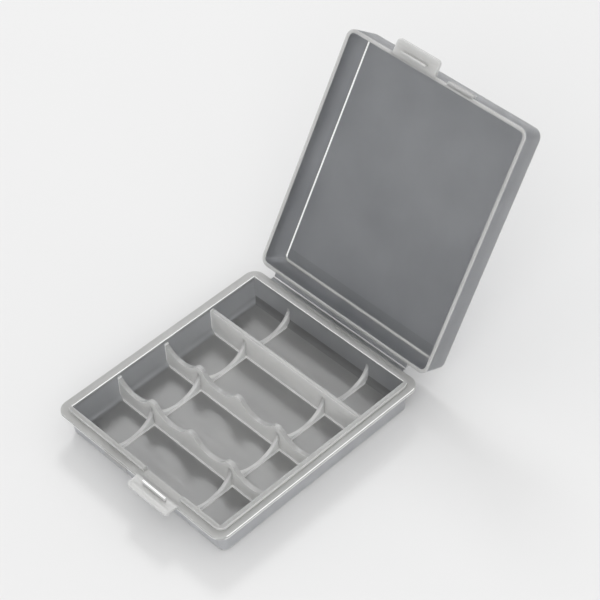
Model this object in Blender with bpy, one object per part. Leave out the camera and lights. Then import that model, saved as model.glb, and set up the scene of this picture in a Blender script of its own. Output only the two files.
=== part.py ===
"""Battery box: a tray with four cell bays, a living hinge and a lid, modelled in metres, +Z up.

The origin is the middle of the tray's underside. X runs along the hinge and along the AA cells, and Y
runs from the latch tabs towards the hinge. The lid stands open past upright, as in the photograph.
"""
import math

import bmesh
import bpy
from mathutils import Matrix

# Cells that the box holds, and the play each one has
AA_DIAMETER = 0.0145
AA_LENGTH = 0.0505
AA_SIDE_PLAY = 0.0002
AA_END_PLAY = 0.0031
AA_TOP_PLAY = 0.0005
AAA_DIAMETER = 0.0105
AAA_PLAY = 0.0035
BAY_COUNT = 4

# Tray
WALL = 0.0012
FLOOR = 0.0011
DIVIDER = 0.0012
FLANGE_THICKNESS = 0.0010
FLANGE_WIDTH = 0.0019
FLANGE_CORNER = 0.0040
LIP_HEIGHT = 0.00095
TRAY_OUTER_DRAFT = 0.00075
TRAY_INNER_DRAFT = 0.00027
TRAY_CORNER = 0.0034
TRAY_FOOT_EDGE = 0.0005
TRAY_INNER_CORNER = 0.0012

# Dividers and cradle ribs
SCALLOP_DEPTH = 0.0034
SCALLOP_EDGE = 0.0007
CREST_IN_WALL = 0.0015
RIB_THICKNESS = 0.0010
RIB_SPACING = 0.0284
RIB_WEB = 0.0004
RIB_TIP = 0.00015

# Living hinge
HINGE_LENGTH = 0.0452
HINGE_SEAT = 0.0008
HINGE_REACH = 0.0010
HINGE_WEB = 0.0004
OPEN_ANGLE = 121.0

# Lid
LID_WALL = 0.0010
LID_PANEL = 0.0010
LID_DRAFT = 0.0010
LID_CORNER = 0.0045
LID_PANEL_EDGE = 0.0006
LID_INNER_EDGE = 0.0004
LID_SIDE_PLAY = 0.0006
LID_FRONT_PLAY = 0.0003

# Latch tabs, hooks and catch pads
TAB_CENTRE = 0.0076
TAB_WIDTH = 0.0140
TAB_REACH = 0.0033
TAB_THICKNESS = 0.0010
TAB_CORNER = 0.0009
TAB_FLARE = 0.0005
DISH_DEPTH = 0.00025
DISH_WIDTH = 0.0016
HOOK_WIDTH = 0.0081
HOOK_THICKNESS = 0.0006
HOOK_HEIGHT = 0.0010
PAD_WIDTH = 0.0080
TRAY_PAD_HEIGHT = 0.0011
LID_PAD_HEIGHT = 0.0016
NOTCH_WIDTH = 0.0133

# Clearances, and how far a cutter runs past what it cuts
PIECE_GAP = 0.0003
FOLD_GAP = 0.00015
OVERRUN = 0.0020
WELD_DISTANCE = 0.000001

# Smoothness of round shapes
CORNER_STEPS = 6
EDGE_STEPS = 2
ARC_STEPS = 14
SCALLOP_STEPS = 28
SMALL_ARC_STEPS = 3
DISH_SIDES = 32
SMOOTH_ANGLE = 30.0

# Sizes that follow
BAY = AA_DIAMETER + AA_SIDE_PLAY
INNER_HALF_X = (AA_LENGTH + AA_END_PLAY) / 2
INNER_HALF_Y = (BAY_COUNT * BAY + (BAY_COUNT - 1) * DIVIDER) / 2
OUTER_HALF_X = INNER_HALF_X + WALL
OUTER_HALF_Y = INNER_HALF_Y + WALL
FLANGE_TOP = FLOOR + AA_DIAMETER / 2 + AA_TOP_PLAY
FLANGE_BOTTOM = FLANGE_TOP - FLANGE_THICKNESS
FLANGE_HALF_X = OUTER_HALF_X + FLANGE_WIDTH
FLANGE_HALF_Y = OUTER_HALF_Y + FLANGE_WIDTH
LIP_TOP = FLANGE_TOP + LIP_HEIGHT
HINGE_Y = FLANGE_HALF_Y + HINGE_REACH
HINGE_Z = FLANGE_TOP + FOLD_GAP
LEAF_ROOT_Y = FLANGE_HALF_Y - HINGE_SEAT
LID_HALF_X = OUTER_HALF_X + LID_SIDE_PLAY + LID_WALL
LID_NEAR = HINGE_Y - OUTER_HALF_Y - LID_FRONT_PLAY - LID_WALL
LID_FAR = HINGE_Y + OUTER_HALF_Y + LID_FRONT_PLAY + LID_WALL
LID_RIM = FOLD_GAP
LID_TOP = HINGE_Z
TAB_TIP_Y = -FLANGE_HALF_Y - TAB_REACH
HOOK_NEAR_Y = -FLANGE_HALF_Y - PIECE_GAP
HOOK_FAR_Y = HOOK_NEAR_Y - HOOK_THICKNESS
SCALLOP_RADIUS = (AAA_DIAMETER + AAA_PLAY) / 2
SCALLOP_LEVEL = FLANGE_TOP - SCALLOP_DEPTH + SCALLOP_RADIUS
CREST_EDGE_LEVEL = FLANGE_TOP - SCALLOP_EDGE
SCALLOP_REACH = math.sqrt((SCALLOP_RADIUS + SCALLOP_EDGE) ** 2 - (SCALLOP_LEVEL - CREST_EDGE_LEVEL) ** 2)
SCALLOP_COUNT = int((INNER_HALF_X + CREST_IN_WALL) // SCALLOP_REACH)
SCALLOP_PITCH = 2 * (INNER_HALF_X + CREST_IN_WALL) / SCALLOP_COUNT
CRADLE_RADIUS = BAY / 2


def clear_scene():
    for item in list(bpy.data.objects):
        bpy.data.objects.remove(item, do_unlink=True)


def new_collection(name):
    collection = bpy.data.collections.new(name)
    bpy.context.scene.collection.children.link(collection)
    return collection


def frosted_plastic(name, colour, roughness):
    material = bpy.data.materials.new(name)
    material.use_nodes = True
    shader = material.node_tree.nodes["Principled BSDF"]
    shader.inputs["Base Color"].default_value = (*colour, 1.0)
    shader.inputs["Roughness"].default_value = roughness
    shader.inputs["Metallic"].default_value = 0.0
    material.diffuse_color = (*colour, 1.0)
    return material


def add_piece(name, mesh, collection, colour, roughness, hinge=None):
    """Puts a piece in its collection with its own plastic, on the hinge's axis if it moves."""
    piece = bpy.data.objects.new(name, mesh)
    collection.objects.link(piece)
    mesh.materials.append(frosted_plastic(name + "_plastic", colour, roughness))
    mesh.shade_smooth()
    mesh.set_sharp_from_angle(angle=math.radians(SMOOTH_ANGLE))
    piece.parent = hinge
    return piece


def combine(piece, mesh, operation, cutters):
    """Adds or takes away a shape, which stays as a hidden guide that moves with the piece."""
    guide = bpy.data.objects.new(mesh.name + "_guide", mesh)
    cutters.objects.link(guide)
    guide.parent = piece.parent
    guide.hide_render = True
    guide.display_type = "WIRE"
    boolean = piece.modifiers.new(mesh.name, "BOOLEAN")
    boolean.operation = operation
    boolean.solver = "EXACT"
    boolean.object = guide


def box_mesh(name, x_range, y_range, z_range, foot_taper=0.0, top_taper=0.0, corner=0.0, foot_edge=0.0,
             top_edge=0.0):
    """A box with drafted sides, rounded upright corners and a rounded foot or top edge."""
    size = [high - low for low, high in (x_range, y_range, z_range)]
    centre = [(high + low) / 2 for low, high in (x_range, y_range, z_range)]
    shape = bmesh.new()
    bmesh.ops.create_cube(shape, size=1.0)
    bmesh.ops.scale(shape, vec=size, verts=shape.verts)
    for vert in shape.verts:
        taper = top_taper if vert.co.z > 0 else foot_taper
        vert.co.x -= math.copysign(taper, vert.co.x)
        vert.co.y -= math.copysign(taper, vert.co.y)
    bmesh.ops.translate(shape, vec=centre, verts=shape.verts)
    if corner > 0:
        uprights = [e for e in shape.edges if abs(e.verts[0].co.z - e.verts[1].co.z) > size[2] / 2]
        bmesh.ops.bevel(shape, geom=uprights, offset=corner, offset_type="OFFSET", segments=CORNER_STEPS,
                        profile=0.5, affect="EDGES", clamp_overlap=True)
    for radius, height in ((foot_edge, z_range[0]), (top_edge, z_range[1])):
        if radius > 0:
            rim = [e for e in shape.edges if all(abs(v.co.z - height) < WELD_DISTANCE for v in e.verts)]
            bmesh.ops.bevel(shape, geom=rim, offset=radius, offset_type="OFFSET", segments=EDGE_STEPS,
                            profile=0.5, affect="EDGES", clamp_overlap=True)
    mesh = bpy.data.meshes.new(name)
    shape.to_mesh(mesh)
    shape.free()
    return mesh


def outline_mesh(name, points, thickness, placing):
    """A flat outline given thickness about its own plane, then moved by the matrix placing."""
    curve = bpy.data.curves.new(name + "_outline", "CURVE")
    curve.dimensions = "2D"
    curve.fill_mode = "BOTH"
    curve.extrude = thickness / 2
    spline = curve.splines.new("POLY")
    spline.points.add(len(points) - 1)
    for point, (across, along) in zip(spline.points, points):
        point.co = (across, along, 0.0, 1.0)
    spline.use_cyclic_u = True
    drawing = bpy.data.objects.new(name + "_outline", curve)
    bpy.context.scene.collection.objects.link(drawing)
    bpy.context.view_layer.update()
    mesh = bpy.data.meshes.new_from_object(drawing.evaluated_get(bpy.context.evaluated_depsgraph_get()))
    mesh.name = name
    bpy.data.objects.remove(drawing, do_unlink=True)
    shape = bmesh.new()
    shape.from_mesh(mesh)
    bmesh.ops.remove_doubles(shape, verts=shape.verts, dist=WELD_DISTANCE)
    bmesh.ops.transform(shape, matrix=placing, verts=shape.verts)
    bmesh.ops.recalc_face_normals(shape, faces=shape.faces)
    shape.to_mesh(mesh)
    shape.free()
    return mesh


def groove_mesh(name, centre_x, centre_y, centre_z, radius, length):
    """A rod along X that cuts a round-bottomed groove."""
    shape = bmesh.new()
    placing = Matrix.Translation((centre_x, centre_y, centre_z)) @ Matrix.Rotation(math.radians(90.0), 4, "Y")
    bmesh.ops.create_cone(shape, cap_ends=True, segments=DISH_SIDES, radius1=radius, radius2=radius,
                          depth=length, matrix=placing)
    mesh = bpy.data.meshes.new(name)
    shape.to_mesh(mesh)
    shape.free()
    return mesh


def arc(centre, radius, start, end, steps):
    """Points along an arc, with its angles in degrees."""
    angles = [math.radians(start + (end - start) * step / steps) for step in range(steps + 1)]
    return [(centre[0] + radius * math.cos(a), centre[1] + radius * math.sin(a)) for a in angles]


def standing_along_x(y):
    """Stands an outline up in a plane across Y: its first size is X and its second is Z."""
    return Matrix.Translation((0, y, 0)) @ Matrix.Rotation(math.radians(90.0), 4, "X")


def standing_along_y(x):
    """Stands an outline up in a plane across X: its first size is Y and its second is Z."""
    turn = Matrix.Rotation(math.radians(90.0), 4, "Z") @ Matrix.Rotation(math.radians(90.0), 4, "X")
    return Matrix.Translation((x, 0, 0)) @ turn


def inner_half_x(height):
    """Half of the tray's inside along X at a height, where its walls' draft has narrowed it."""
    return INNER_HALF_X - TRAY_INNER_DRAFT * (LIP_TOP - height) / (LIP_TOP - FLOOR)


def make_tray_shell(parts, cutters):
    body = box_mesh("tray_shell", (-OUTER_HALF_X, OUTER_HALF_X), (-OUTER_HALF_Y, OUTER_HALF_Y),
                    (0, LIP_TOP), foot_taper=TRAY_OUTER_DRAFT, corner=TRAY_CORNER, foot_edge=TRAY_FOOT_EDGE)
    shell = add_piece("tray_shell", body, parts, (0.60, 0.61, 0.60), 0.32)
    flange = box_mesh("flange", (-FLANGE_HALF_X, FLANGE_HALF_X), (-FLANGE_HALF_Y, FLANGE_HALF_Y),
                      (FLANGE_BOTTOM, FLANGE_TOP), corner=FLANGE_CORNER)
    combine(shell, flange, "UNION", cutters)
    spread = OVERRUN * TRAY_INNER_DRAFT / (LIP_TOP - FLOOR)
    half_x = INNER_HALF_X + spread
    half_y = INNER_HALF_Y + spread
    cavity = box_mesh("tray_cavity", (-half_x, half_x), (-half_y, half_y), (FLOOR, LIP_TOP + OVERRUN),
                      foot_taper=TRAY_INNER_DRAFT + spread, corner=TRAY_INNER_CORNER)
    combine(shell, cavity, "DIFFERENCE", cutters)
    notch = box_mesh("lip_notch", (TAB_CENTRE - NOTCH_WIDTH / 2, TAB_CENTRE + NOTCH_WIDTH / 2),
                     (-OUTER_HALF_Y - OVERRUN, -INNER_HALF_Y + OVERRUN), (FLANGE_TOP, LIP_TOP + OVERRUN))
    combine(shell, notch, "DIFFERENCE", cutters)
    seat_half = HINGE_LENGTH / 2 + PIECE_GAP
    seat = box_mesh("hinge_seat", (-seat_half, seat_half), (LEAF_ROOT_Y - PIECE_GAP, HINGE_Y + OVERRUN),
                    (FLANGE_BOTTOM - OVERRUN, FLANGE_TOP + OVERRUN))
    combine(shell, seat, "DIFFERENCE", cutters)


def scalloped_height(x):
    """The height of a scalloped divider's top edge: AAA seats, with rounded crests between them."""
    seat = math.floor(SCALLOP_COUNT / 2 + x / SCALLOP_PITCH) + 0.5 - SCALLOP_COUNT / 2
    away = abs(x - seat * SCALLOP_PITCH)
    if away >= SCALLOP_REACH:
        return FLANGE_TOP
    if away > SCALLOP_REACH * SCALLOP_RADIUS / (SCALLOP_RADIUS + SCALLOP_EDGE):
        return CREST_EDGE_LEVEL + math.sqrt(SCALLOP_EDGE ** 2 - (SCALLOP_REACH - away) ** 2)
    return SCALLOP_LEVEL - math.sqrt(SCALLOP_RADIUS ** 2 - away ** 2)


def make_divider(name, back_y, scalloped, parts):
    foot = FLOOR + PIECE_GAP
    half_foot = inner_half_x(foot) - PIECE_GAP
    half_top = inner_half_x(FLANGE_TOP) - PIECE_GAP
    points = [(-half_foot, foot), (half_foot, foot)]
    if scalloped:
        steps = SCALLOP_STEPS * SCALLOP_COUNT
        places = [half_top - 2 * half_top * step / steps for step in range(steps + 1)]
        points += [(x, scalloped_height(x)) for x in places]
    else:
        points += [(half_top, FLANGE_TOP), (-half_top, FLANGE_TOP)]
    mesh = outline_mesh(name, points, DIVIDER, standing_along_x(back_y - DIVIDER / 2))
    add_piece(name, mesh, parts, (0.64, 0.64, 0.62), 0.38)


def make_cradle_rib(name, x, bay_centre, parts):
    foot = FLOOR + PIECE_GAP
    half = BAY / 2 - PIECE_GAP
    level = foot + RIB_WEB + CRADLE_RADIUS
    lean = math.degrees(math.asin((half - RIB_TIP) / CRADLE_RADIUS))
    seat = arc((bay_centre, level), CRADLE_RADIUS, lean - 90, -lean - 90, ARC_STEPS)
    tip = seat[0][1]
    points = [(bay_centre - half, foot), (bay_centre + half, foot), (bay_centre + half, tip)]
    points += seat
    points.append((bay_centre - half, tip))
    mesh = outline_mesh(name, points, RIB_THICKNESS, standing_along_y(x))
    add_piece(name, mesh, parts, (0.66, 0.66, 0.64), 0.38)


def make_bays(parts):
    """The dividers between the bays, and two cradle ribs in each bay."""
    places = ("front", "middle", "back")
    for index, place in enumerate(places[:BAY_COUNT - 1]):
        back_y = -INNER_HALF_Y + (index + 1) * (BAY + DIVIDER)
        make_divider("divider_" + place, back_y, place != "back", parts)
    for index in range(BAY_COUNT):
        centre = -INNER_HALF_Y + index * (BAY + DIVIDER) + BAY / 2
        for side, x in (("left", -RIB_SPACING / 2), ("right", RIB_SPACING / 2)):
            make_cradle_rib(f"cradle_rib_{index + 1}_{side}", x, centre, parts)


def make_tray_hinge_leaf(parts):
    fold_y = HINGE_Y - FOLD_GAP
    points = [(LEAF_ROOT_Y, FLANGE_BOTTOM), (FLANGE_HALF_Y, FLANGE_BOTTOM), (fold_y, FLANGE_TOP - HINGE_WEB),
              (fold_y, FLANGE_TOP), (LEAF_ROOT_Y, FLANGE_TOP)]
    mesh = outline_mesh("tray_hinge_leaf", points, HINGE_LENGTH, standing_along_y(0))
    add_piece("tray_hinge_leaf", mesh, parts, (0.66, 0.67, 0.67), 0.30)


def make_lid_hinge_leaf(parts, hinge):
    """Thin at the fold, and as thick as the flange where it meets the lid's wall."""
    root_y = -LID_NEAR + PIECE_GAP
    points = [(root_y, LID_RIM), (-FOLD_GAP, LID_RIM), (-FOLD_GAP, LID_RIM + HINGE_WEB),
              (root_y, LID_RIM + FLANGE_THICKNESS)]
    mesh = outline_mesh("lid_hinge_leaf", points, HINGE_LENGTH, standing_along_y(0))
    add_piece("lid_hinge_leaf", mesh, parts, (0.66, 0.67, 0.67), 0.30, hinge)


def make_lid_shell(parts, cutters, hinge):
    """The lid as it closes, measured from the hinge's axis, with its mouth downwards."""
    body = box_mesh("lid_shell", (-LID_HALF_X, LID_HALF_X), (-LID_FAR, -LID_NEAR), (LID_RIM, LID_TOP),
                    top_taper=LID_DRAFT, corner=LID_CORNER, top_edge=LID_PANEL_EDGE)
    shell = add_piece("lid_shell", body, parts, (0.52, 0.54, 0.57), 0.30, hinge)
    slope = LID_DRAFT / (LID_TOP - LID_RIM)
    spread = LID_WALL - OVERRUN * slope
    cavity_top = LID_TOP - LID_PANEL
    cavity = box_mesh("lid_cavity", (-LID_HALF_X + spread, LID_HALF_X - spread),
                      (-LID_FAR + spread, -LID_NEAR - spread), (LID_RIM - OVERRUN, cavity_top),
                      top_taper=(cavity_top - LID_RIM + OVERRUN) * slope, corner=LID_CORNER - LID_WALL,
                      top_edge=LID_INNER_EDGE)
    combine(shell, cavity, "DIFFERENCE", cutters)


def tab_outline(centre_x, root_y, tip_y):
    """A latch tab from above: a flared root, straight sides and rounded corners at its tip."""
    left = centre_x - TAB_WIDTH / 2
    right = centre_x + TAB_WIDTH / 2
    points = arc((left - TAB_FLARE, root_y - TAB_FLARE), TAB_FLARE, 90, 0, SMALL_ARC_STEPS)
    points += arc((left + TAB_CORNER, tip_y + TAB_CORNER), TAB_CORNER, 180, 270, SMALL_ARC_STEPS)
    points += arc((right - TAB_CORNER, tip_y + TAB_CORNER), TAB_CORNER, 270, 360, SMALL_ARC_STEPS)
    points += arc((right + TAB_FLARE, root_y - TAB_FLARE), TAB_FLARE, 180, 90, SMALL_ARC_STEPS)
    return points


def make_latch(half_name, centre_x, wall_y, shift_y, level, facing, parts, cutters, hinge=None):
    """A thumb tab and its hook. The hook stands off the tab towards the other half: facing is 1 for up."""
    root_y = wall_y - PIECE_GAP
    tip_y = TAB_TIP_Y + shift_y
    middle = Matrix.Translation((0, 0, level - facing * TAB_THICKNESS / 2))
    plate = outline_mesh(half_name + "_latch_tab", tab_outline(centre_x, root_y, tip_y), TAB_THICKNESS, middle)
    tab = add_piece(plate.name, plate, parts, (0.68, 0.68, 0.66), 0.30, hinge)
    radius = ((DISH_WIDTH / 2) ** 2 + DISH_DEPTH ** 2) / (2 * DISH_DEPTH)
    dish_y = (HOOK_FAR_Y + TAB_TIP_Y) / 2 + shift_y
    dish = groove_mesh(half_name + "_thumb_dish", centre_x, dish_y, level + facing * (radius - DISH_DEPTH),
                       radius, TAB_WIDTH - 2 * TAB_CORNER)
    combine(tab, dish, "DIFFERENCE", cutters)
    near = level + facing * PIECE_GAP
    far = near + facing * HOOK_HEIGHT
    hook = box_mesh(half_name + "_latch_hook", (centre_x - HOOK_WIDTH / 2, centre_x + HOOK_WIDTH / 2),
                    (HOOK_FAR_Y + shift_y, HOOK_NEAR_Y + shift_y), (min(near, far), max(near, far)))
    add_piece(hook.name, hook, parts, (0.70, 0.70, 0.68), 0.28, hinge)


def make_catch_pads(parts, hinge):
    """The blocks that the hooks close over: under the tray's flange, and on the lid's front wall."""
    tray_x = (-TAB_CENTRE - PAD_WIDTH / 2, -TAB_CENTRE + PAD_WIDTH / 2)
    top = FLANGE_BOTTOM - PIECE_GAP
    tray_pad = box_mesh("tray_catch_pad", tray_x, (-FLANGE_HALF_Y, -OUTER_HALF_Y - PIECE_GAP),
                        (top - TRAY_PAD_HEIGHT, top))
    add_piece("tray_catch_pad", tray_pad, parts, (0.66, 0.67, 0.67), 0.32)
    lid_x = (TAB_CENTRE - PAD_WIDTH / 2, TAB_CENTRE + PAD_WIDTH / 2)
    lid_pad = box_mesh("lid_catch_pad", lid_x, (-FLANGE_HALF_Y - HINGE_Y, -LID_FAR - PIECE_GAP),
                       (LID_RIM, LID_RIM + LID_PAD_HEIGHT))
    add_piece("lid_catch_pad", lid_pad, parts, (0.66, 0.67, 0.67), 0.32, hinge)


def make_lid_hinge():
    """The axis that the lid turns on, turned by as much as the lid stands open."""
    hinge = bpy.data.objects.new("lid_hinge_axis", None)
    bpy.context.scene.collection.objects.link(hinge)
    hinge.location = (0, HINGE_Y, HINGE_Z)
    hinge.rotation_euler = (math.radians(-OPEN_ANGLE), 0, 0)
    return hinge


def main():
    clear_scene()
    parts = new_collection("battery_box")
    cutters = new_collection("battery_box_cutters")
    hinge = make_lid_hinge()
    make_tray_shell(parts, cutters)
    make_bays(parts)
    make_tray_hinge_leaf(parts)
    make_latch("tray", TAB_CENTRE, -FLANGE_HALF_Y, 0, FLANGE_TOP, 1, parts, cutters)
    make_lid_shell(parts, cutters, hinge)
    make_lid_hinge_leaf(parts, hinge)
    make_latch("lid", -TAB_CENTRE, -LID_FAR, -HINGE_Y, LID_RIM, -1, parts, cutters, hinge)
    make_catch_pads(parts, hinge)


main()
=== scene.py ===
"""Battery box of frosted polypropylene, standing open on a pale floor."""
import math
import bmesh
import bpy
from mathutils import Matrix, Vector


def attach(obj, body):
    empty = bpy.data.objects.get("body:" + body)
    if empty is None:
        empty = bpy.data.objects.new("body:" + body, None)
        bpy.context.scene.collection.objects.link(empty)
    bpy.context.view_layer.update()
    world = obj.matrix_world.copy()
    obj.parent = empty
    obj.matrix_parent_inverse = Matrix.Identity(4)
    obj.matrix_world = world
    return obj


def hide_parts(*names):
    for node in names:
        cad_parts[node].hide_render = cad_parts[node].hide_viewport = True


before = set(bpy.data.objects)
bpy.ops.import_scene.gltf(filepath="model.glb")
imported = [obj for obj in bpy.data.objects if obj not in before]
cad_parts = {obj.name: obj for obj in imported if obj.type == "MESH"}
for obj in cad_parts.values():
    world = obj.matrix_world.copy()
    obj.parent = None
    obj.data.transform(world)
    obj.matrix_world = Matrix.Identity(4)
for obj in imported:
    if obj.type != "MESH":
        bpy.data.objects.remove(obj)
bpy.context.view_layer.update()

# Lengths are in millimetres. X runs along the hinge, Y from the latch tabs to the hinge.
# Places closer than SAME are one place, NEAR is how far round a place edges are looked for, and
# faces that would lie in one plane are kept APART.
MM = 0.001
SAME = 0.01
NEAR = 0.1
APART = 0.02

# Tray: half its widths along X and Y, its heights and its roundings
OUTER_X = 28.0
OUTER_Y = 32.4
FOOT_X = 27.9
FOOT_Y = 31.75
INNER_X = 26.8
INNER_Y = 31.2
FLOOR_X = 26.68
FLOOR_Y = 31.08
FLANGE_X = 29.9
FLANGE_Y = 34.3
FLOOR_TOP = 1.1
FLANGE_BOTTOM = 7.85
FLANGE_LINE = 8.22
FLANGE_TOP = 8.85
LIP_TOP = 9.8
CORNER = 2.0
FLANGE_CORNER = 3.3
FOOT_ROUND = 1.1
FLOOR_ROUND = 1.8
FLANGE_ROUND = 0.22
LIP_ROUND_INSIDE = 0.2
LIP_ROUND = 0.25
NOTCH_ENDS = (0.8, 14.4)
NOTCH_TOP = 9.9
NOTCH_TAPER = 0.94

# Faces of the tray farther out than these belong to its outside
WALL_X = 27.2
WALL_Y = 31.45
RIM_Y = 31.6

# Bays, the dividers between them and the ribs across them
BAY_FRONTS = (-31.2, -15.3, 0.6, 16.5)
BAY = 14.7
DIVIDER = 1.2
WEB_HALF = 27.0
WEB_BOTTOM = 0.9
WEB_FOOT_TOP = FLOOR_TOP + 0.32
WEB_FOOT_REACH = 0.55
WEB_LEFT_END = -26.45
CREST_TOP = 9.4
SCALLOPS = (-21.05, -7.07, 7.07, 21.05)
SCALLOP_RADIUS = 7.0
SCALLOP_CENTRE = 12.45
CRESTS = (-14.06, 0.0, 14.06)
CREST_RADIUS = 1.98
CREST_CENTRE = 6.92
CREST_ROOM = 1.57
CREST_ROOM_BOTTOM = 8.13
RIB_X = 14.2
RIB_HALF = 0.5
RIB_TOP = 6.95
RIB_SINK = 0.12
RIB_FOOT_TOP = FLOOR_TOP + 0.25
RIB_FOOT_REACH = 0.5
CELL_RADIUS = 7.3
CELL_DEPTH = 5.5

# Latch tabs, their hooks and the pads that the hooks pass
TAB_CENTRE = 7.6
TAB_WIDTH = 14.0
TAB_TIP = -37.6
LID_TAB_TIP = -37.58
TAB_CORNER = 0.95
TAB_STEP = 0.5
TAB_FLARE = 1.0
TAB_ROUND = 0.2
DISH_RADIUS = 1.405
DISH_IN = 1.2
DISH_RISE = 1.32
DISH_SHORTER = 1.4
HOOK_NEAR = 3.55
HOOK_FAR = 11.65
HOOK_FRONT = -35.2
HOOK_BACK = -34.6
HOOK_TOP = 10.1
HOOK_ROUND = 0.18
PAD_NEAR = 3.6
PAD_FAR = 11.6

# Hinge and lid. The lid is modelled closed, with its Y and Z counted from the fold of the hinge.
HINGE_Y = 35.3
HINGE_Z = 9.0
HINGE_HALF = 23.6
HINGE_GAP = 0.05
OPEN_ANGLE = 121.0
LID_RIM_X = 29.6
LID_TOP_X = 28.6
LID_MOUTH_X = 28.6
LID_PANEL_X = 27.7
LID_FRONT = -69.0
LID_REAR = -1.0
LID_RIM_DEPTH = 68.0
LID_TOP_DEPTH = 67.2
LID_MOUTH_DEPTH = 66.0
LID_PANEL_DEPTH = 64.75
LID_PANEL_PIVOT = -20.4
LID_RIM_Z = 0.15
LID_TOP_Z = 9.0
LID_PANEL_Z = 8.0
LID_WALL_THICK = 1.0
LID_CORNER = 2.5

# Heights and places of the lines of edges that are cut round the lid
LID_WALL_LINE = 6.2
LID_EDGE_LINE = 8.12
LID_REAR_LINE = -5.8
LID_FOLD_LINE = -2.95


def start_clean():
    if bpy.context.object and bpy.context.object.mode != "OBJECT":
        bpy.ops.object.mode_set(mode="OBJECT")
    bpy.ops.object.select_all(action="DESELECT")


def hold(piece):
    start_clean()
    piece.select_set(True)
    bpy.context.view_layer.objects.active = piece


def block(name, x, y, z):
    """A box between two ends along each way."""
    start_clean()
    middle = [(a + b) / 2 * MM for a, b in (x, y, z)]
    size = [(b - a) * MM for a, b in (x, y, z)]
    bpy.ops.mesh.primitive_cube_add(size=1.0, location=middle, scale=size)
    piece = bpy.context.object
    piece.name = name
    piece.data.name = name
    bpy.ops.object.transform_apply(location=True, rotation=True, scale=True)
    return piece


def bar_cutter(name, middle, radius, length, along):
    """A round bar that cuts a hollow or adds a crest, lying along X or Y."""
    start_clean()
    turn = (0.0, math.pi / 2, 0.0) if along == "X" else (math.pi / 2, 0.0, 0.0)
    bpy.ops.mesh.primitive_cylinder_add(vertices=128, radius=radius * MM, depth=length * MM,
                                        location=[v * MM for v in middle], rotation=turn)
    bar = bpy.context.object
    bar.name = name
    bpy.ops.object.transform_apply(location=True, rotation=True, scale=True)
    return bar


def pick_edges(piece, rule):
    """Selects in edit mode the edges whose two ends, in millimetres, keep to the rule."""
    hold(piece)
    bpy.ops.object.mode_set(mode="EDIT")
    bpy.ops.mesh.select_mode(type="EDGE")
    bpy.ops.mesh.select_all(action="DESELECT")
    mesh = bmesh.from_edit_mesh(piece.data)
    for edge in mesh.edges:
        a, b = (v.co / MM for v in edge.verts)
        if rule(a, b):
            edge.select_set(True)
    bmesh.update_edit_mesh(piece.data)


def pick_faces(piece, rule):
    """Selects in edit mode the faces whose middle, in millimetres, and normal keep to the rule."""
    hold(piece)
    bpy.ops.object.mode_set(mode="EDIT")
    bpy.ops.mesh.select_mode(type="FACE")
    bpy.ops.mesh.select_all(action="DESELECT")
    mesh = bmesh.from_edit_mesh(piece.data)
    mesh.normal_update()
    for face in mesh.faces:
        if rule(face.calc_center_median() / MM, face.normal):
            face.select_set(True)
    bmesh.update_edit_mesh(piece.data)


def leave_edit():
    bpy.ops.object.mode_set(mode="OBJECT")


def round_edges(piece, rule, width, steps):
    pick_edges(piece, rule)
    bpy.ops.mesh.bevel(offset=width * MM, offset_type="OFFSET", segments=steps, profile=0.5,
                       affect="EDGES", clamp_overlap=True)
    leave_edit()


def scale_picked(shares, centre):
    bpy.ops.transform.resize(value=shares, center_override=[v * MM for v in centre])


def extrude_picked(shift):
    bpy.ops.mesh.extrude_region_move(TRANSFORM_OT_translate={"value": [v * MM for v in shift]})


def scale_faces(piece, rule, shares, centre=(0.0, 0.0, 0.0)):
    """Draws in or flattens the chosen faces, for a moulding's draft or a shallower hollow."""
    pick_faces(piece, rule)
    scale_picked(shares, centre)
    leave_edit()


def move_edges(piece, rule, shift):
    pick_edges(piece, rule)
    bpy.ops.transform.translate(value=[v * MM for v in shift])
    leave_edit()


def slice_across(piece, point, normal):
    """Adds a line of edges round the piece where a plane crosses it."""
    pick_faces(piece, every_face)
    bpy.ops.mesh.bisect(plane_co=[v * MM for v in point], plane_no=normal)
    leave_edit()


def combine(piece, tool, operation):
    hold(piece)
    step = piece.modifiers.new(operation.lower(), "BOOLEAN")
    step.operation = operation
    step.solver = "EXACT"
    step.object = tool
    bpy.ops.object.modifier_apply(modifier=step.name)
    bpy.data.objects.remove(tool)


def cut_away(piece, tool):
    combine(piece, tool, "DIFFERENCE")


def join_on(piece, tool):
    combine(piece, tool, "UNION")


# Rules for edges get their two ends a and b, and rules for faces get their middle c and normal n
def upright(a, b):
    return abs(a.x - b.x) < SAME and abs(a.y - b.y) < SAME


def level(a, b):
    return abs(a.z - b.z) < SAME


def along_x(a, b):
    return abs(a.y - b.y) < SAME and abs(a.z - b.z) < SAME


def level_at(height):
    return lambda a, b: abs(a.z - height) < SAME and abs(b.z - height) < SAME


def every_face(c, n):
    return True


def facing_down(c, n):
    return n.z < -0.9


def facing_up(c, n):
    return n.z > 0.9


def facing_back(c, n):
    return n.y > 0.9


# Finishes
def node_at(tree, kind, x, y):
    node = tree.nodes.new(kind)
    node.location = (x, y)
    return node


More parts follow.
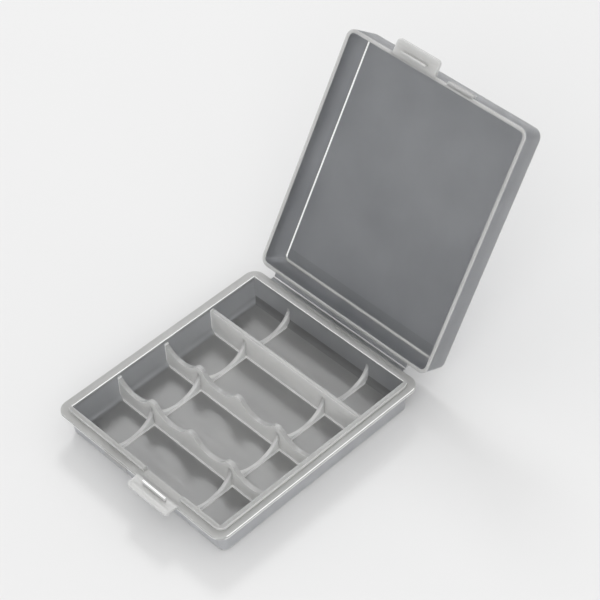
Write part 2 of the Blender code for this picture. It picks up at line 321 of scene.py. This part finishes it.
def frosted(name, dark, light, clear, rough):
    """Milky, slightly see-through plastic with a fine grain, cloudy patches and faint streaks."""
    material = bpy.data.materials.new(name)
    material.use_nodes = True
    tree = material.node_tree
    shader = tree.nodes["Principled BSDF"]
    shader.inputs["IOR"].default_value = 1.49
    shader.inputs["Transmission Weight"].default_value = clear
    shader.inputs["Subsurface Weight"].default_value = 1.0
    shader.inputs["Subsurface Radius"].default_value = (1.0, 1.0, 1.0)
    shader.inputs["Subsurface Scale"].default_value = 0.004
    place = node_at(tree, "ShaderNodeTexCoord", -1500, 0)
    cloud = node_at(tree, "ShaderNodeTexNoise", -1200, 300)
    cloud.inputs["Scale"].default_value = 70.0
    cloud.inputs["Detail"].default_value = 4.0
    tint = node_at(tree, "ShaderNodeValToRGB", -900, 300)
    tint.color_ramp.elements[0].position = 0.3
    tint.color_ramp.elements[0].color = (*dark, 1.0)
    tint.color_ramp.elements[1].position = 0.7
    tint.color_ramp.elements[1].color = (*light, 1.0)
    grain = node_at(tree, "ShaderNodeTexNoise", -1200, -100)
    grain.inputs["Scale"].default_value = 1700.0
    grain.inputs["Detail"].default_value = 3.0
    streak_place = node_at(tree, "ShaderNodeMapping", -1400, -500)
    streak_place.inputs["Rotation"].default_value = (0.0, 0.0, 0.5)
    streak_place.inputs["Scale"].default_value = (40.0, 500.0, 40.0)
    streak = node_at(tree, "ShaderNodeTexNoise", -1200, -500)
    streak.inputs["Scale"].default_value = 1.0
    streak.inputs["Detail"].default_value = 2.0
    sheen = node_at(tree, "ShaderNodeMapRange", -900, -100)
    sheen.inputs["From Min"].default_value = 0.3
    sheen.inputs["From Max"].default_value = 0.7
    sheen.inputs["To Min"].default_value = rough - 0.01
    sheen.inputs["To Max"].default_value = rough + 0.05
    bump = node_at(tree, "ShaderNodeBump", -400, -350)
    bump.inputs["Strength"].default_value = 0.15
    bump.inputs["Distance"].default_value = 0.00002
    tree.links.new(place.outputs["Object"], cloud.inputs["Vector"])
    tree.links.new(place.outputs["Object"], grain.inputs["Vector"])
    tree.links.new(place.outputs["Object"], streak_place.inputs["Vector"])
    tree.links.new(streak_place.outputs["Vector"], streak.inputs["Vector"])
    tree.links.new(cloud.outputs["Fac"], tint.inputs["Fac"])
    tree.links.new(tint.outputs["Color"], shader.inputs["Base Color"])
    tree.links.new(streak.outputs["Fac"], sheen.inputs["Value"])
    tree.links.new(sheen.outputs["Result"], shader.inputs["Roughness"])
    tree.links.new(grain.outputs["Fac"], bump.inputs["Height"])
    tree.links.new(bump.outputs["Normal"], shader.inputs["Normal"])
    return material


# One plastic, in lit and shaded copies. Painted light: the glowing edges, the webs' faces and the ribs
# lit as if from behind, and the lid's fold. Painted shade: the lid panel, a band of it by the fold,
# the web tops and the foot of the back wall. Each finish has its darkest and lightest tone, how
# clear it is and how rough.
TRAY_WALL = frosted("frosted_tray_wall", (0.50, 0.51, 0.52), (0.56, 0.57, 0.58), 0.80, 0.31)
TRAY_OUTSIDE = frosted("frosted_tray_outside", (0.50, 0.51, 0.53), (0.57, 0.58, 0.60), 0.40, 0.31)
TRAY_RIM = frosted("frosted_tray_rim", (0.42, 0.42, 0.41), (0.48, 0.48, 0.47), 0.35, 0.32)
TRAY_FLOOR = frosted("frosted_tray_floor", (0.46, 0.46, 0.46), (0.52, 0.52, 0.51), 0.70, 0.32)
# Painted shade on the fillet at the foot of the back wall
TRAY_FILLET_SHADE = frosted("frosted_fillet_painted_shade", (0.24, 0.24, 0.24), (0.29, 0.29, 0.29), 0.70, 0.31)
# Painted light: the web faces lighter, as if lit through from behind; also on the lip's outer sides
WEB_FACE_LIT = frosted("frosted_web_face_painted_light", (0.76, 0.76, 0.75), (0.83, 0.83, 0.81), 0.35, 0.36)
# Painted shade: the web tops darker, so that their lit tops look no lighter than the faces
WEB_TOP_SHADED = frosted("frosted_web_top_painted_shade", (0.48, 0.48, 0.48), (0.54, 0.54, 0.53), 0.40, 0.34)
# Painted light: the ribs lighter, as if lit through from behind
RIB_BACKLIT = frosted("frosted_rib_painted_backlight", (0.84, 0.84, 0.83), (0.90, 0.90, 0.88), 0.25, 0.34)
# Painted highlight: near-white edges, which also glow
PAINTED_HIGHLIGHT = frosted("frosted_painted_highlight", (0.88, 0.88, 0.87), (0.95, 0.95, 0.93), 0.05, 0.30)
LID_WALL = frosted("frosted_lid_wall", (0.33, 0.34, 0.355), (0.38, 0.39, 0.405), 0.90, 0.31)
# Painted shade: the lid panel darker than the lid walls, standing in for a dark ground seen through it
LID_PANEL = frosted("frosted_lid_panel_painted_shade", (0.28, 0.29, 0.305), (0.33, 0.34, 0.355), 0.90, 0.30)
# Painted shade on a band of the lid panel beside the fold
LID_PAINTED_SHADE = frosted("frosted_lid_painted_shade", (0.23, 0.24, 0.25), (0.27, 0.28, 0.29), 0.88, 0.30)
# Painted light: a light band on the inner fillet along the fold
LID_FOLD_LIGHT = frosted("frosted_lid_fold_painted_light", (0.54, 0.54, 0.53), (0.61, 0.61, 0.59), 0.30, 0.32)
LID_BACK = frosted("frosted_lid_back_wall", (0.44, 0.45, 0.47), (0.50, 0.51, 0.53), 0.85, 0.31)
LID_TOP = frosted("frosted_lid_top", (0.50, 0.51, 0.53), (0.57, 0.58, 0.60), 0.45, 0.31)
LID_SIDE = frosted("frosted_lid_side", (0.40, 0.41, 0.43), (0.46, 0.47, 0.49), 0.68, 0.31)
LID_RIM = frosted("frosted_lid_rim", (0.48, 0.48, 0.47), (0.54, 0.54, 0.53), 0.30, 0.32)
TAB_PLASTIC = frosted("frosted_tab", (0.48, 0.48, 0.47), (0.54, 0.54, 0.53), 0.15, 0.31)

# Painted highlights: the brightest edges also glow, a painted glow for light that the plastic gathers
highlight_glow_shader = PAINTED_HIGHLIGHT.node_tree.nodes["Principled BSDF"]
highlight_glow_shader.inputs["Emission Color"].default_value = (1.0, 1.0, 0.98, 1.0)
highlight_glow_shader.inputs["Emission Strength"].default_value = 0.16


def paint(piece, materials, rules=()):
    """The first finish goes all over, and each next one on the faces that its rule picks."""
    piece.data.materials.clear()
    for material in materials:
        piece.data.materials.append(material)
    for slot, rule in enumerate(rules, 1):
        pick_faces(piece, rule)
        piece.active_material_index = slot
        bpy.ops.object.material_slot_assign()
        leave_edit()


def settle(piece, node, body):
    """Smooths the piece's shading and puts it on its body in place of the CAD node."""
    hold(piece)
    bpy.ops.object.shade_smooth_by_angle(angle=math.radians(32))
    start_clean()
    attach(piece, body)
    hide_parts(node)


def swing_open(piece):
    """Turns a piece of the closed lid about the hinge to the open position of the photograph."""
    turn = Matrix.Rotation(math.radians(-OPEN_ANGLE), 4, "X")
    piece.matrix_world = Matrix.Translation((0.0, HINGE_Y * MM, HINGE_Z * MM)) @ turn
    hold(piece)
    bpy.ops.object.transform_apply(location=True, rotation=True, scale=True)


# Tray
def lip_inner_edge(a, b):
    return (level_at(LIP_TOP)(a, b) and max(abs(a.x), abs(b.x)) < INNER_X + NEAR
            and max(abs(a.y), abs(b.y)) < INNER_Y + NEAR)


def lip_edge(a, b):
    """Top edges of the lip that reach one of its corners or lie on its outside."""
    reach_x = max(abs(a.x), abs(b.x))
    reach_y = max(abs(a.y), abs(b.y))
    at_corner = reach_x > OUTER_X - CORNER - NEAR and reach_y > OUTER_Y - CORNER - NEAR
    outside = min(abs(a.x), abs(b.x)) > OUTER_X - NEAR or min(abs(a.y), abs(b.y)) > OUTER_Y - NEAR
    return level_at(LIP_TOP)(a, b) and (at_corner or outside)


def tray_outer_wall(c, n):
    return c.z < FLANGE_BOTTOM and n.z > -0.9 and (abs(c.x) > WALL_X or abs(c.y) > WALL_Y)


def tray_rim(c, n):
    return c.z > FLANGE_BOTTOM - APART and (abs(n.z) > 0.1 or abs(c.x) > WALL_X or abs(c.y) > RIM_Y)


def tray_floor(c, n):
    return 0.9 < c.z < 1.2 and n.z > 0.5


# Painted shade: the fillet at the foot of the back wall
def tray_back_fillet_shade(c, n):
    return 1.12 < c.z < 3.0 and 0.05 < n.z and n.y < -0.3 and c.y > 29.0


def tray_painted_highlight(c, n):
    """Painted highlights on edges: inside the lip, on the flange and at the foot."""
    left_or_back = -INNER_X - LIP_ROUND < c.x < -26.5 or 30.9 < c.y < INNER_Y + LIP_ROUND
    lip = c.z > LIP_TOP - LIP_ROUND and 0.1 < n.z < 0.97 and left_or_back
    right_or_front = (n.x > 0.5 or n.y < -0.5) and (c.x > 29.5 or c.y < -33.9)
    flange_foot = FLANGE_BOTTOM < c.z < FLANGE_LINE and n.z > -0.6 and right_or_front
    flange_edge = FLANGE_TOP - FLANGE_ROUND < c.z < FLANGE_TOP and 0.3 < n.z < 0.97 and c.x > 29.6
    foot = c.z < FOOT_ROUND and n.x > 0.5 and -0.5 < n.z < -0.25
    return lip or flange_foot or flange_edge or foot


# Painted light on the lip's outer sides at the front and right, lifting the shade at the lip's foot
def lip_outer_side_lit(c, n):
    right_or_front = n.x > 0.5 and c.x > WALL_X or n.y < -0.5 and c.y < -RIM_Y
    return c.z > FLANGE_TOP + APART and abs(n.z) < 0.3 and right_or_front


def make_tray_shell():
    shell = block("tray_case", (-OUTER_X, OUTER_X), (-OUTER_Y, OUTER_Y), (0.0, LIP_TOP))
    round_edges(shell, upright, CORNER, 8)
    scale_faces(shell, facing_down, (FOOT_X / OUTER_X, FOOT_Y / OUTER_Y, 1.0))
    round_edges(shell, level_at(0.0), FOOT_ROUND, 6)
    flange = block("flange", (-FLANGE_X, FLANGE_X), (-FLANGE_Y, FLANGE_Y), (FLANGE_BOTTOM, FLANGE_TOP))
    round_edges(flange, upright, FLANGE_CORNER, 10)
    round_edges(flange, level, FLANGE_ROUND, 3)
    join_on(shell, flange)
    hollow = block("hollow", (-INNER_X, INNER_X), (-INNER_Y, INNER_Y), (FLOOR_TOP, LIP_TOP + 2.2))
    scale_faces(hollow, facing_down, (FLOOR_X / INNER_X, FLOOR_Y / INNER_Y, 1.0))
    round_edges(hollow, level_at(FLOOR_TOP), FLOOR_ROUND, 5)
    cut_away(shell, hollow)
    round_edges(shell, lip_inner_edge, LIP_ROUND_INSIDE, 3)
    round_edges(shell, lip_edge, LIP_ROUND, 3)
    notch = block("lip_notch", NOTCH_ENDS, (-OUTER_Y - 0.6, -INNER_Y + 1.0),
                  (FLANGE_TOP + APART, NOTCH_TOP))
    scale_faces(notch, facing_down, (NOTCH_TAPER, 1.0, 1.0), (TAB_CENTRE, 0.0, 0.0))
    cut_away(shell, notch)
    slice_across(shell, (0.0, 0.0, FLANGE_LINE), (0.0, 0.0, 1.0))
    # Painted shade on the back wall's foot fillet, painted highlights on edges, painted light on the lip's
    # outer sides
    paint(shell, [TRAY_WALL, TRAY_OUTSIDE, TRAY_RIM, TRAY_FLOOR, TRAY_FILLET_SHADE, PAINTED_HIGHLIGHT, WEB_FACE_LIT],
          [tray_outer_wall, tray_rim, tray_floor, tray_back_fillet_shade, tray_painted_highlight, lip_outer_side_lit])
    settle(shell, "tray_shell", "tray")


def make_divider(name, front_y, scalloped):
    middle_y = front_y + DIVIDER / 2
    top = CREST_TOP if scalloped else FLANGE_TOP
    web = block(name + "_web", (-WEB_HALF, WEB_HALF), (front_y, front_y + DIVIDER), (WEB_BOTTOM, top))
    if scalloped:
        for x in SCALLOPS:
            bar = bar_cutter("seat", (x, middle_y, SCALLOP_CENTRE), SCALLOP_RADIUS, 4.0, "Y")
            cut_away(web, bar)
        for x in CRESTS:
            room = block("crest_room", (x - CREST_ROOM, x + CREST_ROOM),
                         (front_y - 1.0, front_y + DIVIDER + 1.0), (CREST_ROOM_BOTTOM, 11.0))
            cut_away(web, room)
            join_on(web, bar_cutter("crest", (x, middle_y, CREST_CENTRE), CREST_RADIUS, DIVIDER, "Y"))
    round_edges(web, lambda a, b: abs(a.y - b.y) < SAME and min(a.z, b.z) > 5.0 and abs(a.x - b.x) > 0.001,
                0.1, 2)
    slice_across(web, (0.0, 0.0, WEB_FOOT_TOP), (0.0, 0.0, 1.0))
    move_edges(web, lambda a, b: level_at(WEB_BOTTOM)(a, b) and max(a.y, b.y) < front_y + NEAR,
               (0.0, -WEB_FOOT_REACH, 0.0))
    slice_across(web, (WEB_LEFT_END, 0.0, 0.0), (1.0, 0.0, 0.0))
    # Painted light on the web faces, painted shade on the tops, painted highlights at the foot and the
    # left end
    paint(web, [WEB_FACE_LIT, WEB_TOP_SHADED, PAINTED_HIGHLIGHT],
          [lambda c, n: abs(n.y) < 0.3 and c.z > 5.0,
           lambda c, n: c.z < WEB_FOOT_TOP or c.x < WEB_LEFT_END])
    settle(web, name, "tray")


def make_rib(name, x, front_y):
    """A cross web whose top dips to a cell's underside and climbs to a thin horn at each side."""
    middle_y = front_y + BAY / 2
    rib = block(name + "_web", (x - RIB_HALF, x + RIB_HALF),
                (front_y - RIB_SINK, front_y + BAY + RIB_SINK), (WEB_BOTTOM, RIB_TOP))
    seat = bar_cutter("cell_seat", (x, middle_y, RIB_TOP), CELL_RADIUS, 3.0, "X")
    scale_faces(seat, every_face, (1.0, 1.0, CELL_DEPTH / CELL_RADIUS), (x, middle_y, RIB_TOP))
    cut_away(rib, seat)
    round_edges(rib, lambda a, b: abs(a.x - b.x) < SAME and min(a.z, b.z) > 1.4 and abs(a.y - b.y) > 0.001,
                0.12, 2)
    slice_across(rib, (0.0, 0.0, RIB_FOOT_TOP), (0.0, 0.0, 1.0))
    move_edges(rib, lambda a, b: level_at(WEB_BOTTOM)(a, b) and min(a.x, b.x) > x + 0.4,
               (RIB_FOOT_REACH, 0.0, 0.0))
    # Painted light on the rib and a painted highlight along its foot
    paint(rib, [RIB_BACKLIT, PAINTED_HIGHLIGHT], [lambda c, n: c.z < RIB_FOOT_TOP])
    settle(rib, name, "tray")


def make_tray_hinge():
    low = FLANGE_BOTTOM + APART
    leaf = block("tray_hinge_strip", (-HINGE_HALF, HINGE_HALF), (34.0, HINGE_Y - HINGE_GAP),
                 (low, FLANGE_TOP - APART))
    move_edges(leaf, lambda a, b: min(a.y, b.y) > 35.0 and max(a.z, b.z) < low + SAME, (0.0, 0.0, 0.55))
    round_edges(leaf, lambda a, b: min(a.y, b.y) > 35.0 and along_x(a, b), 0.12, 3)
    paint(leaf, [LID_WALL, TRAY_RIM], [lambda c, n: abs(n.x) > 0.9 or c.y > HINGE_Y - 0.3])
    settle(leaf, "tray_hinge_leaf", "tray")


def make_tab(name, centre_x, root_y, tip_y, low, high, dish_z):
    """A thumb tab, rounded at its tip, flared at its root and dished on one side."""
    half = TAB_WIDTH / 2

    def outer_edge(a, b):
        straight = half - TAB_CORNER - SAME
        in_corners = abs(a.x - centre_x) > straight and abs(b.x - centre_x) > straight
        at_tip = max(a.y, b.y) < tip_y + SAME
        at_face = abs(a.z - low) < SAME or abs(a.z - high) < SAME
        return max(a.y, b.y) < root_y - 0.4 and level(a, b) and at_face and (in_corners or at_tip)

    tab = block(name, (centre_x - half, centre_x + half), (tip_y, root_y - TAB_STEP), (low, high))
    round_edges(tab, lambda a, b: upright(a, b) and a.y < tip_y + NEAR, TAB_CORNER, 6)
    pick_faces(tab, facing_back)
    extrude_picked((0.0, TAB_STEP, 0.0))
    scale_picked(((TAB_WIDTH + TAB_FLARE) / TAB_WIDTH, 1.0, 1.0), (centre_x, 0.0, 0.0))
    extrude_picked((0.0, TAB_STEP, 0.0))
    leave_edit()
    middle = (centre_x, tip_y + DISH_IN, dish_z)
    cut_away(tab, bar_cutter("dish", middle, DISH_RADIUS, TAB_WIDTH - DISH_SHORTER, "X"))
    round_edges(tab, outer_edge, TAB_ROUND, 3)
    return tab


def make_tray_latch():
    high = FLANGE_TOP + APART
    tab = make_tab("tray_thumb_tab", TAB_CENTRE, -FLANGE_Y + 0.2, TAB_TIP, FLANGE_BOTTOM + APART, high,
                   high + DISH_RISE)
    paint(tab, [TAB_PLASTIC])
    settle(tab, "tray_latch_tab", "tray")
    hook = block("tray_hook_bar", (HOOK_NEAR, HOOK_FAR), (HOOK_FRONT, HOOK_BACK),
                 (FLANGE_TOP - 0.1, HOOK_TOP))
    round_edges(hook, lambda a, b: max(a.z, b.z) > 9.0, HOOK_ROUND, 3)
    # Painted highlight along the top of the hook
    paint(hook, [TAB_PLASTIC, PAINTED_HIGHLIGHT], [lambda c, n: c.z > 9.9 and n.z > 0.3])
    settle(hook, "tray_latch_hook", "tray")
    pad = block("tray_catch_block", (-PAD_FAR, -PAD_NEAR), (-FLANGE_Y + 0.05, -32.1),
                (6.45, FLANGE_BOTTOM + 0.1))
    round_edges(pad, lambda a, b: min(a.z, b.z) < 6.5 and max(a.y, b.y) < -34.0
                or upright(a, b) and a.y < -34.0, 0.2, 3)
    paint(pad, [TRAY_RIM])
    settle(pad, "tray_catch_pad", "tray")


# Lid, modelled closed and then swung open
def outward(c, n):
    return n.x * c.x + n.y * (c.y + 35.0) > 5.0


def lid_rim(c, n):
    """The mouth's rim, and outside the edge round the panel."""
    return c.z < 0.4 or LID_EDGE_LINE < c.z < 8.8 and n.z < 0.7 and outward(c, n)


def lid_panel(c, n):
    return c.z > 7.9 and abs(n.z) > 0.9


# Painted shade: the band of the panel beside the fold
def lid_panel_rear_shade(c, n):
    return 7.9 < c.z < 8.1 and n.z < -0.9 and c.y > LID_REAR_LINE


# Painted highlight on the lid's left inner fillet
def lid_left_fillet_highlight(c, n):
    return 7.7 < c.z < 8.01 and -0.97 < n.z < -0.5 and c.x < -20.0 and abs(n.y) < 0.3


def lid_rear_wall(c, n):
    return 0.4 < c.z < 7.6 and n.y < -0.5 and c.y > -5.0


# Painted light on the inner fillet along the fold
def lid_rear_fillet_light(c, n):
    return 7.5 < c.z < 8.05 and n.z < -0.1 and c.y > LID_FOLD_LINE


def lid_top(c, n):
    return c.z > 8.5 and n.z > 0.7


def lid_outer_wall(c, n):
    return 0.4 < c.z < LID_EDGE_LINE and outward(c, n)


def make_lid_shell():
    shell = block("lid_case", (-LID_RIM_X, LID_RIM_X), (LID_FRONT, LID_REAR), (LID_RIM_Z, LID_TOP_Z))
    round_edges(shell, upright, LID_CORNER, 10)
    scale_faces(shell, facing_up, (LID_TOP_X / LID_RIM_X, LID_TOP_DEPTH / LID_RIM_DEPTH, 1.0),
                (0.0, LID_REAR, 0.0))
    pick_faces(shell, facing_down)
    bpy.ops.mesh.inset(thickness=LID_WALL_THICK * MM)
    extrude_picked((0.0, 0.0, LID_PANEL_Z - LID_RIM_Z))
    scale_picked((LID_PANEL_X / LID_MOUTH_X, LID_PANEL_DEPTH / LID_MOUTH_DEPTH, 1.0),
                 (0.0, LID_PANEL_PIVOT, 0.0))
    leave_edit()
    round_edges(shell, level_at(LID_TOP_Z), 0.55, 4)
    round_edges(shell, level_at(LID_PANEL_Z), 0.5, 4)
    round_edges(shell, level_at(LID_RIM_Z), 0.15, 2)
    slice_across(shell, (0.0, 0.0, LID_WALL_LINE), (0.0, 0.0, 1.0))
    slice_across(shell, (0.0, 0.0, LID_EDGE_LINE), (0.0, 0.0, 1.0))
    slice_across(shell, (0.0, LID_REAR_LINE, 0.0), (0.0, 1.0, 0.0))
    slice_across(shell, (0.0, LID_FOLD_LINE, 0.0), (0.0, 1.0, 0.0))
    # Painted shade on the panel and a band of it by the fold, a painted highlight on the left fillet,
    # painted light on the fold's fillet
    paint(shell,
          [LID_WALL, LID_RIM, LID_PANEL, LID_PAINTED_SHADE, PAINTED_HIGHLIGHT, LID_BACK, LID_FOLD_LIGHT, LID_TOP, LID_SIDE],
          [lid_rim, lid_panel, lid_panel_rear_shade, lid_left_fillet_highlight, lid_rear_wall, lid_rear_fillet_light, lid_top,
           lid_outer_wall])
    swing_open(shell)
    settle(shell, "lid_shell", "lid")


def make_lid_hinge():
    leaf = block("lid_hinge_strip", (-HINGE_HALF, HINGE_HALF), (-1.4, -HINGE_GAP), (0.17, 1.15))
    move_edges(leaf, lambda a, b: min(a.y, b.y) > -0.1 and min(a.z, b.z) > 1.1, (0.0, 0.0, -0.6))
    round_edges(leaf, lambda a, b: min(a.y, b.y) > -0.1 and along_x(a, b), 0.1, 3)
    swing_open(leaf)
    paint(leaf, [LID_WALL, LID_RIM], [lambda c, n: abs(n.x) > 0.9])
    settle(leaf, "lid_hinge_leaf", "lid")


def make_lid_latch():
    low = 0.12
    tab = make_tab("lid_thumb_tab", -TAB_CENTRE, -68.8, LID_TAB_TIP - HINGE_Y, low, 1.15, low - DISH_RISE)
    swing_open(tab)
    paint(tab, [TAB_PLASTIC])
    settle(tab, "lid_latch_tab", "lid")
    hook = block("lid_hook_bar", (-HOOK_FAR, -HOOK_NEAR), (HOOK_FRONT - HINGE_Y, HOOK_BACK - HINGE_Y),
                 (-1.1, 0.25))
    round_edges(hook, lambda a, b: min(a.z, b.z) < 0.0, HOOK_ROUND, 3)
    swing_open(hook)
    paint(hook, [TAB_PLASTIC])
    settle(hook, "lid_latch_hook", "lid")
    pad = block("lid_catch_block", (PAD_NEAR, PAD_FAR), (-FLANGE_Y - HINGE_Y, -68.6), (LID_RIM_Z, 1.75))
    round_edges(pad, lambda a, b: max(a.y, b.y) < -69.5, 0.12, 2)
    swing_open(pad)
    paint(pad, [LID_RIM])
    settle(pad, "lid_catch_pad", "lid")


make_tray_shell()
make_divider("divider_back", 15.3, False)
make_divider("divider_middle", -0.6, True)
make_divider("divider_front", -16.5, True)
for count, bay_front in enumerate(BAY_FRONTS, 1):
    make_rib(f"cradle_rib_{count}_left", -RIB_X, bay_front)
    make_rib(f"cradle_rib_{count}_right", RIB_X, bay_front)
make_tray_hinge()
make_tray_latch()
make_lid_shell()
make_lid_hinge()
make_lid_latch()


# Floor, light and camera
def matt_floor():
    material = bpy.data.materials.new("pale_floor")
    material.use_nodes = True
    shader = material.node_tree.nodes["Principled BSDF"]
    shader.inputs["Base Color"].default_value = (0.76, 0.76, 0.76, 1.0)
    shader.inputs["Roughness"].default_value = 0.9
    return material


bpy.ops.mesh.primitive_plane_add(size=6.0, location=(0.0, 0.0, -0.0002))
floor = bpy.context.object
floor.name = "floor"
floor.data.materials.append(matt_floor())


def soft_light(name, place, target, size, power):
    data = bpy.data.lights.new(name, "AREA")
    data.shape = "DISK"
    data.size = size
    data.energy = power
    lamp = bpy.data.objects.new(name, data)
    bpy.context.scene.collection.objects.link(lamp)
    lamp.location = place
    lamp.rotation_euler = (Vector(target) - Vector(place)).to_track_quat("-Z", "Y").to_euler()


BOX_MIDDLE = (0.0, 0.0, 0.02)
soft_light("window_light", (-0.5, 0.55, 0.75), BOX_MIDDLE, 0.28, 2.3)
soft_light("fill_light", (0.5, -0.6, 0.7), BOX_MIDDLE, 0.9, 3.2)

world = bpy.data.worlds.new("studio")
bpy.context.scene.world = world
world.use_nodes = True
world.node_tree.nodes["Background"].inputs["Color"].default_value = (1.0, 1.0, 1.0, 1.0)
world.node_tree.nodes["Background"].inputs["Strength"].default_value = 0.84

# The photograph's viewing angle in degrees, the camera's shift to its right, up and back, and its
# focal length in pixels of a picture 600 wide
AZIMUTH = 47.074
ELEVATION = 45.642
ROLL = -2.545
SHIFT_RIGHT = 14.986
SHIFT_UP = 30.029
SHIFT_BACK = 507.554
FOCAL_PIXELS = 2021.027
PICTURE_PIXELS = 600.0
SENSOR = 36.0


def photo_camera():
    """Camera at the photograph's viewing angle."""
    azimuth = math.radians(AZIMUTH)
    elevation = math.radians(ELEVATION)
    roll = math.radians(ROLL)
    back = Vector((math.sin(azimuth) * math.cos(elevation), -math.cos(azimuth) * math.cos(elevation),
                   math.sin(elevation)))
    level_right = Vector((math.cos(azimuth), math.sin(azimuth), 0.0))
    level_up = back.cross(level_right)
    right = math.cos(roll) * level_right + math.sin(roll) * level_up
    up = -math.sin(roll) * level_right + math.cos(roll) * level_up
    place = (SHIFT_RIGHT * right + SHIFT_UP * up + SHIFT_BACK * back) * MM
    data = bpy.data.cameras.new("photo_camera")
    data.sensor_width = SENSOR
    data.lens = FOCAL_PIXELS * SENSOR / PICTURE_PIXELS
    data.clip_start = 0.01
    data.clip_end = 20.0
    camera = bpy.data.objects.new("photo_camera", data)
    bpy.context.scene.collection.objects.link(camera)
    turn = Matrix((right, up, back)).transposed().to_4x4()
    camera.matrix_world = Matrix.Translation(place) @ turn
    bpy.context.scene.camera = camera


photo_camera()
bpy.context.scene.view_settings.view_transform = "Standard"
